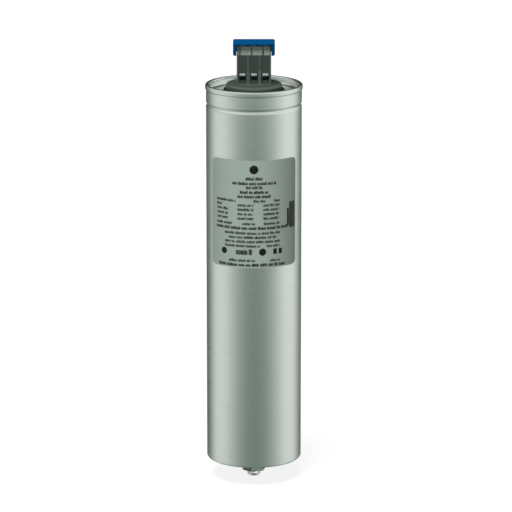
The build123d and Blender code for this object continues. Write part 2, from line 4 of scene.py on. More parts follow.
import bmesh
import bpy
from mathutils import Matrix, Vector


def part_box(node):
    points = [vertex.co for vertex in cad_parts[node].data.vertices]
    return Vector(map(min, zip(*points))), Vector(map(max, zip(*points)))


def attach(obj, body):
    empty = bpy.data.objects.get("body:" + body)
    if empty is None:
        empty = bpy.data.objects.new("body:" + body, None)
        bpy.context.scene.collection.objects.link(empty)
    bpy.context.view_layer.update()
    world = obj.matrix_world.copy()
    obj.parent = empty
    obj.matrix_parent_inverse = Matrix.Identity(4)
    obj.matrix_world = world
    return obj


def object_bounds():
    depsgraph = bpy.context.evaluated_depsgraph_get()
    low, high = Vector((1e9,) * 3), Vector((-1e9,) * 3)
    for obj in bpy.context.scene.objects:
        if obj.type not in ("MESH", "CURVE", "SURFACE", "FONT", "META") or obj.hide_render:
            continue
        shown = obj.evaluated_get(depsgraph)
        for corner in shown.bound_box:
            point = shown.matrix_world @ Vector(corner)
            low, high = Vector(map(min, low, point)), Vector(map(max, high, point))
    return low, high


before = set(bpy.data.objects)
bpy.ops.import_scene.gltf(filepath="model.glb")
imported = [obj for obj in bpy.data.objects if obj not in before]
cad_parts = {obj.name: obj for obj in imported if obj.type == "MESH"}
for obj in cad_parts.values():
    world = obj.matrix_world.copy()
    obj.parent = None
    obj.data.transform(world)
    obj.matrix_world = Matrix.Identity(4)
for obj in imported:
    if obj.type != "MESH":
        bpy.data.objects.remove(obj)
cad_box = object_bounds()

bl_info = {
    "name": "Power capacitor",
    "version": (1, 0, 0),
    "blender": (4, 5, 0),
    "location": "View3D > Sidebar > Capacitor",
    "description": "Finishes, label print, stud thread, camera and light for a power capacitor",
    "category": "Object",
}

MM = 0.001
FLOOR_LEVEL = cad_box[0].z
LABEL_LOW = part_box("rating_label")[0]
LABEL_RADIUS = -LABEL_LOW.y
HOLDER_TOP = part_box("lead_holder")[1].z
NUT_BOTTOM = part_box("hex_nut")[0].z
NUT_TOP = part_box("hex_nut")[1].z
STUD_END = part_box("can")[0].z
# The tower of the terminal block stands above this level, with its front face at this depth. The
# block's colour is multiplied by a painted shade on the tower's faces and by a painted highlight on
# the fronts of the ribs, with a run from one to the other between two distances before the tower's
# front.
TOWER_FOOT = 344.95 * MM
TOWER_FRONT = -10.0 * MM
TOWER_PAINTED_SHADE, RIB_PAINTED_HIGHLIGHT = 0.7, 1.5
RIB_STARTS, RIB_FULL = 0.2 * MM, 0.9 * MM

# The image is square, and the can's axis stands at this pixel column in it
IMAGE_SIZE = 512
AXIS_COLUMN = 253.92

PHASES = (1, 2, 3)

# The mix node has sockets of the same names for numbers and colours: these are the colours' places
MIX_FACTOR, MIX_FIRST, MIX_SECOND, MIX_RESULT = 0, 6, 7, 2

# Light tent round the can. Each ring has its lower and upper elevation in degrees, the share by
# which its right side outshines the middle, and its glow at even steps from the back, over both
# sides alike, to the front. The tent's front lies a few degrees to the right. Where the glow is
# weaker than one, it is tinted a little green by these shares of red, green and blue.
TENT_RADIUS = 1.1
TENT_LEVEL = 0.18
TENT_FACES, TENT_BANDS = 72, 8
TENT_FRONT = 3
TENT_SHADE = (-0.17, 0.08, -0.03)
TENT_RINGS = (
    ("tent_ground", -89, -35, 0.0, (0.2, 0.3, 0.4, 0.5, 0.5, 0.4, 0.3, 0.22, 0.2)),
    ("tent_wall", -35, 7, 0.03, (0.08, 0.13, 0.58, 1.16, 1.16, 1.02, 0.77, 0.51, 0.235)),
    ("tent_upper", 7, 34, 0.28, (0.03, 0.05, 1.2, 2.7, 2.8, 2.2, 1.5, 0.95, 0.85)),
    ("tent_top", 34, 89, -0.15, (0.08, 0.08, 0.5, 2.2, 2.4, 2.1, 1.45, 0.95, 0.7)),
)

# Fill light, as azimuth to the right, elevation and apparent size in degrees
FILL_AZIMUTH, FILL_ELEVATION, FILL_SIZE = 10, 12, 20
# Small lamp for the nut, as azimuth, elevation and cone in degrees, distance and radius in metres
NUT_LAMP_AZIMUTH, NUT_LAMP_ELEVATION, NUT_LAMP_CONE = 38, 1, 6
NUT_LAMP_DISTANCE, NUT_LAMP_RADIUS = 0.4, 0.02
SUN_DISTANCE = 2.0
# Floor: half its width, its colour and glow to the eye, and its darker colour to all other rays
FLOOR_SIZE = 8.0
FLOOR_SEEN, FLOOR_UNSEEN = "#545454", "#424242"
FLOOR_GLOW = 0.87


def linear(code):
    """Linear colour with alpha from an sRGB hex code."""
    channels = [int(code[i:i + 2], 16) / 255 for i in (1, 3, 5)]
    curve = [c / 12.92 if c <= 0.04045 else ((c + 0.055) / 1.055) ** 2.4 for c in channels]
    return (*curve, 1.0)


def colour(name, description, code):
    """Colour property with its default from an sRGB hex code."""
    return bpy.props.FloatVectorProperty(
        name=name, description=description, subtype="COLOR", size=4, min=0, max=1,
        default=linear(code),
    )


class CapacitorFinishes(bpy.types.PropertyGroup):
    aluminium: colour("Can", "Satin aluminium of the can", "#d3dad3")
    lid: colour("Lid", "Plain aluminium of the drawn lid", "#cfd6cf")
    nylon: colour("Terminal", "Dark grey nylon of the terminal block", "#2c3530")
    blue: colour("Hood", "Blue of the resistor hood", "#00385d")
    ceramic: colour("Resistors", "Grey of the ceramic block", "#8a958b")
    film: colour("Label", "Silver-grey of the label film", "#89958c")
    ink: colour("Print", "Ink of the label print", "#10150f")
    brush_pitch: bpy.props.FloatProperty(
        name="Brush line pitch", description="Height of one brush line round the can",
        default=1.4 * MM, unit="LENGTH",
    )
    brush_length: bpy.props.FloatProperty(
        name="Brush line length", description="Length of one brush line round the can",
        default=30 * MM, unit="LENGTH",
    )
    grain: bpy.props.FloatProperty(
        name="Mould grain", description="Size of the grain on moulded plastic",
        default=0.5 * MM, unit="LENGTH",
    )


class CapacitorLabel(bpy.types.PropertyGroup):
    letter_width: bpy.props.FloatProperty(
        name="Mark width", description="Mean width of one mark in a line of print",
        default=1.0 * MM, unit="LENGTH",
    )
    letter_gap: bpy.props.FloatProperty(
        name="Mark gap", description="Gap between two marks", default=0.17 * MM, unit="LENGTH"
    )
    ink_height: bpy.props.FloatProperty(
        name="Ink height", description="How far the ink stands above the film",
        default=0.03 * MM, unit="LENGTH",
    )
    seed: bpy.props.IntProperty(
        name="Seed", description="Start of the random widths", default=11
    )


class CapacitorStage(bpy.types.PropertyGroup):
    key_strength: bpy.props.FloatProperty(
        name="Key light", description="Strength of the soft light from the upper left",
        default=7.9,
    )
    key_elevation: bpy.props.FloatProperty(
        name="Key height", description="Elevation of the key light",
        default=math.radians(66), subtype="ANGLE",
    )
    key_azimuth: bpy.props.FloatProperty(
        name="Key side", description="Azimuth of the key light, from the front to the left",
        default=math.radians(20), subtype="ANGLE",
    )
    key_size: bpy.props.FloatProperty(
        name="Key size", description="Apparent size of the key light",
        default=math.radians(34), subtype="ANGLE",
    )
    sky_strength: bpy.props.FloatProperty(
        name="Sky", description="Strength of the even light from all sides", default=0.06
    )
    fill_strength: bpy.props.FloatProperty(
        name="Fill light", description="Strength of the weak, low light from the front", default=0.7
    )
    nut_strength: bpy.props.FloatProperty(
        name="Nut light", description="Strength of the small lamp for the nut", default=14.0,
        unit="POWER",
    )
    camera_distance: bpy.props.FloatProperty(
        name="Camera distance", description="From the camera to the can's axis, level",
        default=2.7945, unit="LENGTH",
    )
    camera_height: bpy.props.FloatProperty(
        name="Camera height", description="Height of the camera above the can's bottom",
        default=0.8826, unit="LENGTH",
    )
    camera_pitch: bpy.props.FloatProperty(
        name="Camera pitch", description="How far the camera looks down",
        default=math.radians(14.0), subtype="ANGLE",
    )
    focal_length: bpy.props.FloatProperty(
        name="Focal length", description="In millimetres, on a 36 mm sensor", default=225.97
    )


def add_node(tree, kind, inputs=None, **settings):
    """Add one node, set its values and link its inputs."""
    node = tree.nodes.new(kind)
    for name, value in settings.items():
        setattr(node, name, value)
    for key, value in (inputs or {}).items():
        if isinstance(value, bpy.types.NodeSocket):
            tree.links.new(value, node.inputs[key])
        else:
            node.inputs[key].default_value = value
    return node


def empty_material(name):
    """New material with no nodes yet."""
    material = bpy.data.materials.new(name)
    material.use_nodes = True
    material.node_tree.nodes.clear()
    return material, material.node_tree


def patterned(name, base, shade, metallic, roughness, spread, size, stretch=(1, 1, 1),
              detail=3.0, bump=0.0, depth=0.05 * MM, specular=0.5):
    """Material whose colour, roughness and bump follow one noise of a real size.

    size is the pattern's size in metres along each axis, times stretch. The colour runs from
    base to shade, and the roughness by spread to both sides.
    """
    material, tree = empty_material(name)
    place = add_node(tree, "ShaderNodeTexCoord")
    scale = [1 / (size * factor) for factor in stretch]
    place = add_node(tree, "ShaderNodeMapping", {"Vector": place.outputs["Object"], "Scale": scale})
    noise = add_node(
        tree, "ShaderNodeTexNoise",
        {"Vector": place.outputs["Vector"], "Scale": 1.0, "Detail": detail, "Roughness": 0.55},
    )
    tint = add_node(
        tree, "ShaderNodeMix",
        {MIX_FACTOR: noise.outputs["Fac"], MIX_FIRST: base, MIX_SECOND: shade},
        data_type="RGBA",
    ).outputs[MIX_RESULT]
    rough = add_node(
        tree, "ShaderNodeMapRange",
        {"Value": noise.outputs["Fac"], "From Min": 0.3, "From Max": 0.7,
         "To Min": roughness - spread, "To Max": roughness + spread},
    )
    values = {
        "Base Color": tint, "Metallic": metallic, "Roughness": rough.outputs["Result"],
        "Specular IOR Level": specular,
    }
    if bump:
        relief = add_node(
            tree, "ShaderNodeBump",
            {"Strength": bump, "Distance": depth, "Height": noise.outputs["Fac"]},
        )
        values["Normal"] = relief.outputs["Normal"]
    shader = add_node(tree, "ShaderNodeBsdfPrincipled", values)
    add_node(tree, "ShaderNodeOutputMaterial", {"Surface": shader.outputs["BSDF"]})
    return material


def shade_of(base, factor):
    """The same colour, darker or lighter."""
    return (*[min(1.0, c * factor) for c in base[:3]], 1.0)


def dress(material, *names):
    """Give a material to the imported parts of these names."""
    for name in names:
        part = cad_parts[name]
        part.data.materials.clear()
        part.data.materials.append(material)


def new_piece(name, bm, material, slot=None):
    """Object from a bmesh, riding on the root body when a slot is given."""
    mesh = bpy.data.meshes.new(name)
    bm.to_mesh(mesh)
    bm.free()
    mesh.materials.append(material)
    piece = bpy.data.objects.new(name, mesh)
    bpy.context.scene.collection.objects.link(piece)
    if slot:
        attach(piece, "root")
    return piece


def sphere_point(azimuth, elevation, radius):
    """Point at an azimuth from the front towards the right, and an elevation."""
    flat = radius * math.cos(elevation)
    level = radius * math.sin(elevation)
    return Vector((flat * math.sin(azimuth), -flat * math.cos(azimuth), level))


class OBJECT_OT_capacitor_metal(bpy.types.Operator):
    """Finishes of the can, lid, nut and the metal of the terminals"""
    bl_idname = "capacitor.metal"
    bl_label = "Metal finishes"

    def execute(self, context):
        settings = context.scene.capacitor_finishes
        # Impact-extruded aluminium, ironed and satin: a silky grey with faint lines round the can.
        # The real lines are a tenth of a millimetre high, and are drawn coarser so that they show.
        length = settings.brush_length / settings.brush_pitch
        dress(
            patterned(
                "satin_extruded_aluminium", settings.aluminium, shade_of(settings.aluminium, 0.9),
                1.0, 0.34, 0.05, settings.brush_pitch, (length, length, 1),
                detail=4, bump=0.12, depth=0.02 * MM,
            ),
            "can",
        )
        # Drawn aluminium sheet: smoother than the can, with soft, wide clouds in its shine.
        dress(
            patterned(
                "drawn_aluminium_sheet", settings.lid, shade_of(settings.lid, 0.96),
                1.0, 0.26, 0.02, 12 * MM, detail=1,
            ),
            "lid",
        )
        # Phosphated steel: a dark grey, dry coating of fine crystals that scatters the light.
        dress(
            patterned(
                "phosphated_steel", linear("#5c6561"), linear("#434a47"),
                0.0, 0.5, 0.08, 1.2 * MM, bump=0.2, depth=0.03 * MM,
            ),
            "hex_nut", "lock_washer", *[f"clamp_cage_{i}" for i in PHASES],
        )
        # Tinned copper: pale, slightly warm and soft in its gloss.
        dress(
            patterned(
                "tinned_copper", linear("#e2e6e2"), linear("#c9cec9"),
                1.0, 0.36, 0.08, 0.8 * MM, bump=0.1, depth=0.02 * MM,
            ),
            *[f"contact_strip_{i}" for i in PHASES],
        )
        # The resistors' leads are tinned wire in a grey much darker than the strips' tin, which is
        # painted shade for the slots they lie in, with darker streaks along it.
        dress(
            patterned(
                "tinned_wire_painted_shade", linear("#7d827c"), linear("#5d625c"),
                1.0, 0.5, 0.08, 0.5 * MM, (1, 1, 12), bump=0.1, depth=0.02 * MM,
            ),
            *[f"resistor_lead_{i}" for i in PHASES],
        )
        # Zinc-plated steel: bluish grey with the faint cloudiness of its passivation.
        dress(
            patterned(
                "zinc_plated_steel", linear("#cdd2d4"), linear("#b3babd"),
                1.0, 0.32, 0.06, 1.5 * MM,
            ),
            *[f"clamp_screw_{i}" for i in PHASES],
        )
        return {"FINISHED"}


class OBJECT_OT_capacitor_plastic(bpy.types.Operator):
    """Finishes of the terminal block, hood, resistors, seals and label film"""
    bl_idname = "capacitor.plastic"
    bl_label = "Plastic finishes"

    def execute(self, context):
        settings = context.scene.capacitor_finishes
        dress(self.block_nylon(settings), "terminal_block")
        # Moulded polyamide, blue all through: satin skin, a little darker in its grain.
        dress(
            patterned(
                "moulded_blue_polyamide", settings.blue, shade_of(settings.blue, 0.86),
                0.0, 0.5, 0.05, settings.grain, bump=0.15, depth=0.03 * MM, specular=0.03,
            ),
            "resistor_hood",
        )
        # Unglazed ceramic: chalky grey with small darker specks.
        dress(
            patterned(
                "unglazed_ceramic", settings.ceramic, shade_of(settings.ceramic, 0.8),
                0.0, 0.75, 0.05, 0.9 * MM, detail=6, bump=0.3, depth=0.06 * MM,
            ),
            "resistor_block",
        )
        # EPDM rubber: black, matt and slightly dusty.
        dress(
            patterned(
                "black_rubber", linear("#070807"), linear("#101211"),
                0.0, 0.7, 0.06, 0.7 * MM, bump=0.15, depth=0.04 * MM, specular=0.25,
            ),
            "terminal_seal",
        )
        # Sealing rubber in the seam: light grey, smooth and slightly waxy.
        dress(
            patterned(
                "light_sealing_rubber", linear("#c6cbc5"), linear("#b3b9b2"),
                0.0, 0.5, 0.05, 0.8 * MM, bump=0.05, depth=0.03 * MM,
            ),
            "seam_gasket",
        )
        # Polyester label film with a silver-grey print ground: smooth and half matt.
        dress(
            patterned(
                "silver_grey_label_film", settings.film, shade_of(settings.film, 0.95),
                0.0, 0.6, 0.04, 9 * MM, specular=0.05,
            ),
            "rating_label",
        )
        return {"FINISHED"}

    def block_nylon(self, settings):
        """Glass-filled nylon of the block, with painted shade on the tower and a painted highlight
        on its ribs' fronts.
        """
        # Dark grey-green, half matt, with a fine dry grain. The tower's faces are painted darker
        # than the base as painted shade, and the fronts of its ribs painted lighter as a painted
        # highlight.
        material = patterned(
            "glass_filled_nylon", settings.nylon, shade_of(settings.nylon, 1.25),
            0.0, 0.4, 0.06, settings.grain, bump=0.25, depth=0.04 * MM,
        )
        tree = material.node_tree
        shader = next(node for node in tree.nodes if node.type == "BSDF_PRINCIPLED")
        grain = shader.inputs["Base Color"].links[0].from_socket
        place = add_node(tree, "ShaderNodeTexCoord")
        axes = add_node(tree, "ShaderNodeSeparateXYZ", {"Vector": place.outputs["Object"]})
        tower = add_node(
            tree, "ShaderNodeMath", {0: axes.outputs["Z"], 1: TOWER_FOOT}, operation="GREATER_THAN"
        )
        # Painted highlight on the ribs' fronts, painted shade on the tower's other faces
        painted_rib_highlight = add_node(
            tree, "ShaderNodeMapRange",
            {"Value": axes.outputs["Y"], "From Min": TOWER_FRONT - RIB_STARTS,
             "From Max": TOWER_FRONT - RIB_FULL, "To Min": TOWER_PAINTED_SHADE, "To Max": RIB_PAINTED_HIGHLIGHT},
        )
        tone = add_node(
            tree, "ShaderNodeMix",
            {"Factor": tower.outputs["Value"], "A": 1.0, "B": painted_rib_highlight.outputs["Result"]},
        )
        painted_light_colour = add_node(
            tree, "ShaderNodeVectorMath", {0: grain, "Scale": tone.outputs["Result"]},
            operation="SCALE",
        )
        tree.links.new(painted_light_colour.outputs["Vector"], shader.inputs["Base Color"])
        return material


class OBJECT_OT_capacitor_inside(bpy.types.Operator):
    """Finishes of the hidden pieces inside the can"""
    bl_idname = "capacitor.inside"
    bl_label = "Inner finishes"

    def execute(self, context):
        # Wound metallised film: pale metal with fine lines where the turns lie.
        dress(
            patterned(
                "wound_metallised_film", linear("#c4c8cd"), linear("#a9aeb5"),
                0.8, 0.25, 0.06, 0.8 * MM, (40, 40, 1), bump=0.1, depth=0.02 * MM,
            ),
            *[f"film_roll_{i}" for i in PHASES],
        )
        # Zinc sprayed on the roll's ends: grey, rough and grainy.
        dress(
            patterned(
                "sprayed_zinc", linear("#9a9da0"), linear("#6f7275"),
                1.0, 0.75, 0.12, 0.6 * MM, detail=6, bump=0.8, depth=0.12 * MM,
            ),
            *[f"end_spray_{i}_{end}" for i in PHASES for end in ("low", "high")],
        )
        # Polypropylene, extruded or moulded: milky white with a waxy skin.
        dress(
            patterned(
                "natural_polypropylene", linear("#dcdccf"), linear("#cfcfc0"),
                0.0, 0.45, 0.06, 1.5 * MM, bump=0.08, depth=0.03 * MM,
            ),
            *[f"core_tube_{i}" for i in PHASES], "spacer_ring_1", "spacer_ring_2",
            "bottom_insulator", "top_insulator", "lead_holder", "terminal_ring",
        )
        # Polyester wrap: pale, glossy and lightly creased.
        dress(
            patterned(
                "polyester_wrap", linear("#d9dcd6"), linear("#c8ccc5"),
                0.0, 0.2, 0.05, 12 * MM, bump=0.2, depth=0.2 * MM,
            ),
            "film_jacket",
        )
        # Bare copper wire: warm metal with darker drawn streaks.
        dress(
            patterned(
                "bare_copper_wire", linear("#c47a4e"), linear("#9c5c38"),
                1.0, 0.34, 0.06, 0.5 * MM, (1, 1, 20),
            ),
            "core_link",
        )
        dress(self.sleeved_wire(), *[f"inner_lead_{i}" for i in PHASES])
        return {"FINISHED"}

    def sleeved_wire(self):
        """Black sleeve, and bare tinned copper above the holder."""
        material, tree = empty_material("sleeved_copper_wire")
        place = add_node(tree, "ShaderNodeTexCoord")
        axes = add_node(tree, "ShaderNodeSeparateXYZ", {"Vector": place.outputs["Object"]})
        bare = add_node(
            tree, "ShaderNodeMath", {0: axes.outputs["Z"], 1: HOLDER_TOP}, operation="GREATER_THAN"
        )
        noise = add_node(
            tree, "ShaderNodeTexNoise", {"Vector": place.outputs["Object"], "Scale": 1 / (0.6 * MM)}
        )
        sleeve = add_node(
            tree, "ShaderNodeMix",
            {MIX_FACTOR: noise.outputs["Fac"], MIX_FIRST: linear("#101112"),
             MIX_SECOND: linear("#1b1c1e")},
            data_type="RGBA",
        )
        tint = add_node(
            tree, "ShaderNodeMix",
            {MIX_FACTOR: bare.outputs["Value"], MIX_FIRST: sleeve.outputs[MIX_RESULT],
             MIX_SECOND: linear("#d9d5cc")},
            data_type="RGBA",
        ).outputs[MIX_RESULT]
        rough = add_node(
            tree, "ShaderNodeMapRange",
            {"Value": noise.outputs["Fac"], "To Min": 0.35, "To Max": 0.5},
        )
        shader = add_node(
            tree, "ShaderNodeBsdfPrincipled",
            {"Base Color": tint, "Metallic": bare.outputs["Value"],
             "Roughness": rough.outputs["Result"]},
        )
        add_node(tree, "ShaderNodeOutputMaterial", {"Surface": shader.outputs["BSDF"]})
        return material


# Lines of print, as height above the label's lower edge, then start and end along the arc from
# the middle, all in millimetres. Strong lines are printed bolder.
STRONG_LINES = (
    (80.8, -7.5, 7.7), (76.5, -19.7, 20.4), (72.9, -7.1, 7.7), (68.6, -12.6, 12.8),
    (64.7, -14.8, 15.0), (36.2, -37.3, 33.0), (2.8, -34.2, 30.6),
)
WIDE_LINES = (
    (31.6, -27.6, 24.4), (27.8, -23.4, 20.4), (23.9, -27.2, 24.0), (20.0, -27.2, 5.2),
    (20.0, 11.7, 24.0), (6.8, -23.4, 1.0), (6.8, 14.6, 24.0),
)
TABLE_LEVELS = (60.7, 56.8, 52.9, 48.9, 44.9, 40.2)
TABLE_COLUMNS = (
    ((-36.8, -16.7), (-36.8, -30.8), *[(-36.2, -24.2)] * 3, (-36.8, -20.1)),
    ((-0.4, 10.2), *[(-14.8, -0.4)] * 4, (-10.4, 1.0)),
    ((18.4, 24.0), *[(8.4, 23.6)] * 4, (8.8, 23.6)),
)

# Height of a line's marks, the factor on the ink's colour for strong and fine print, and the
# shares of the height at which a mark may end above the line's middle
STRONG_HEIGHT, FINE_HEIGHT = 2.8, 2.4
STRONG_INK, FINE_INK = 0.8, 2.0
MARK_TOPS = (0.25, 0.3, 0.5)

# Discs as place along the arc, height of the middle, and radius; one bold line between them as
# height, start and end; and small fields as start and end. All are in millimetres on the label.
DISCS = ((0.0, 89.0, 3.9), (-28.2, 14.6, 2.9), (7.7, 14.6, 3.2))
BOLD_LINE, BOLD_HEIGHT = (14.6, -16.3, -1.5), 5.2
SMALL_FIELDS = ((17.6, 21.0), (23.0, 26.4))
SMALL_FIELD_LOW, SMALL_FIELD_HIGH = 12.2, 17.0

# Block of upright bars at the right: short ones up to the step, then tall ones, with their lower
# and upper ends, and the widths and gaps that they have. No bar starts past the last start.
CODE_START, CODE_STEP, CODE_LAST_START, CODE_END = 32.0, 34.6, 42.0, 42.3
SHORT_BARS, TALL_BARS = (36.2, 52.0), (34.0, 57.5)
BAR_WIDTHS, BAR_GAPS = (0.5, 0.9, 1.5), (0.12, 0.2)

# Longest flat step of print round the can, and the bands that a disc is built from
FIELD_STEP = 1.5
DISC_BANDS = 12


class OBJECT_OT_capacitor_label(bpy.types.Operator):
    """Plain print on the label: lines of short marks, fields and a block of bars"""
    bl_idname = "capacitor.label"
    bl_label = "Label print"

    def execute(self, context):
        settings = context.scene.capacitor_label
        self.settings = settings
        self.random = random.Random(settings.seed)
        strong, fine = bmesh.new(), bmesh.new()
        for level, start, end in STRONG_LINES:
            self.line(strong, level, start, end, STRONG_HEIGHT)
        for level, start, end in WIDE_LINES:
            self.line(fine, level, start, end, FINE_HEIGHT)
        for column in TABLE_COLUMNS:
            for level, (start, end) in zip(TABLE_LEVELS, column):
                self.line(fine, level, start, end, FINE_HEIGHT)
        for place, level, radius in DISCS:
            self.disc(strong, place, level, radius)
        self.line(strong, *BOLD_LINE, BOLD_HEIGHT)
        for start, end in SMALL_FIELDS:
            self.field(strong, start, end, SMALL_FIELD_LOW, SMALL_FIELD_HIGH)
        self.code_block(strong)
        ink = context.scene.capacitor_finishes.ink
        inks = (("label_print_strong", strong, STRONG_INK), ("label_print_fine", fine, FINE_INK))
        for name, bm, dark in inks:
            # Screen ink on film: nearly black, thin, with small light spots where it is worn.
            material = patterned(
                name.replace("label_print", "screen_ink"), shade_of(ink, dark),
                shade_of(ink, dark * 1.4), 0.0, 0.5, 0.06, 1.1 * MM, detail=5, specular=0.15,
            )
            new_piece(name, bm, material, "label_film")
        return {"FINISHED"}

    def code_block(self, bm):
        """Upright bars side by side, of random widths."""
        place = CODE_START
        while place < CODE_LAST_START:
            width = self.random.choice(BAR_WIDTHS)
            low, high = SHORT_BARS if place < CODE_STEP else TALL_BARS
            self.field(bm, place, min(place + width, CODE_END), low, high)
            place += width + self.random.choice(BAR_GAPS)

    def field(self, bm, start, end, low, high):
        """Inked rectangle that follows the can, given in millimetres on the label."""
        radius = LABEL_RADIUS + self.settings.ink_height
        steps = max(1, math.ceil((end - start) / FIELD_STEP))
        rows = []
        for i in range(steps + 1):
            angle = (start + (end - start) * i / steps) * MM / LABEL_RADIUS
            rows.append([
                bm.verts.new((
                    radius * math.sin(angle), -radius * math.cos(angle), LABEL_LOW.z + level * MM
                ))
                for level in (low, high)
            ])
        for first, second in zip(rows, rows[1:]):
            bm.faces.new((first[0], second[0], second[1], first[1]))

    def line(self, bm, level, start, end, height):
        """Line of marks in groups, with gaps between the groups."""
        place, left = start, self.random.randint(4, 10)
        width = self.settings.letter_width / MM
        gap = self.settings.letter_gap / MM
        while place < end:
            if left == 0:
                place += 2.2 * gap + width * 0.5
                left = self.random.randint(3, 9)
                continue
            size = width * self.random.uniform(0.6, 1.3)
            top = level + height * self.random.choice(MARK_TOPS)
            self.field(bm, place, min(place + size, end), level - height / 2, top)
            place += size + gap
            left -= 1

    def disc(self, bm, place, level, radius):
        """Filled disc that follows the can."""
        band = 2 * radius / DISC_BANDS
        for i in range(DISC_BANDS):
            low = -radius + band * i
            half = math.sqrt(radius**2 - (low + band / 2)**2)
            self.field(bm, place - half, place + half, level + low, level + low + band)


class OBJECT_OT_capacitor_thread(bpy.types.Operator):
    """Thread on the free end of the stud"""
    bl_idname = "capacitor.thread"
    bl_label = "Stud thread"

    def execute(self, context):
        pitch, crest, root = 1.75 * MM, 5.85 * MM, 5.66 * MM
        tip_gap, nut_gap = 1.0 * MM, 0.15 * MM
        # Half the width of the thread's foot and of its crest, as shares of the pitch
        foot, flat = 0.4, 0.07
        steps_per_turn, run_outs = 48, 6
        start, end = STUD_END + tip_gap, NUT_BOTTOM - nut_gap
        turns = (end - start - pitch * 2 * foot) / pitch
        steps = math.ceil(turns * steps_per_turn)
        bm = bmesh.new()
        rings = []
        for i in range(steps + 1):
            turn = i / steps
            angle = turn * turns * 2 * math.pi
            level = start + pitch * foot + turn * turns * pitch
            # The thread rises over the first sixth of its length and sinks over the last
            rise = min(1.0, turn * run_outs, (1 - turn) * run_outs)
            ring = []
            for radius, shift in ((root, -foot), (crest, -flat), (crest, flat), (root, foot)):
                out = root + (radius - root) * rise
                ring.append(bm.verts.new((
                    out * math.cos(angle), out * math.sin(angle), level + shift * pitch
                )))
            rings.append(ring)
        for first, second in zip(rings, rings[1:]):
            for k in range(3):
                bm.faces.new((first[k], second[k], second[k + 1], first[k + 1]))
            bm.faces.new((first[3], second[3], second[0], first[0]))
        bm.faces.new(rings[0][::-1])
        bm.faces.new(rings[-1])
        bmesh.ops.recalc_face_normals(bm, faces=bm.faces)
        settings = context.scene.capacitor_finishes
        # Rolled thread in the can's own aluminium: the fine crests scatter the light, so it looks
        # brighter and less mirror-like than the can.
        material = patterned(
            "rolled_aluminium_thread", shade_of(settings.aluminium, 1.15), settings.aluminium,
            0.6, 0.4, 0.05, 0.4 * MM,
        )
        new_piece("stud_thread", bm, material, "can_aluminium")
        return {"FINISHED"}


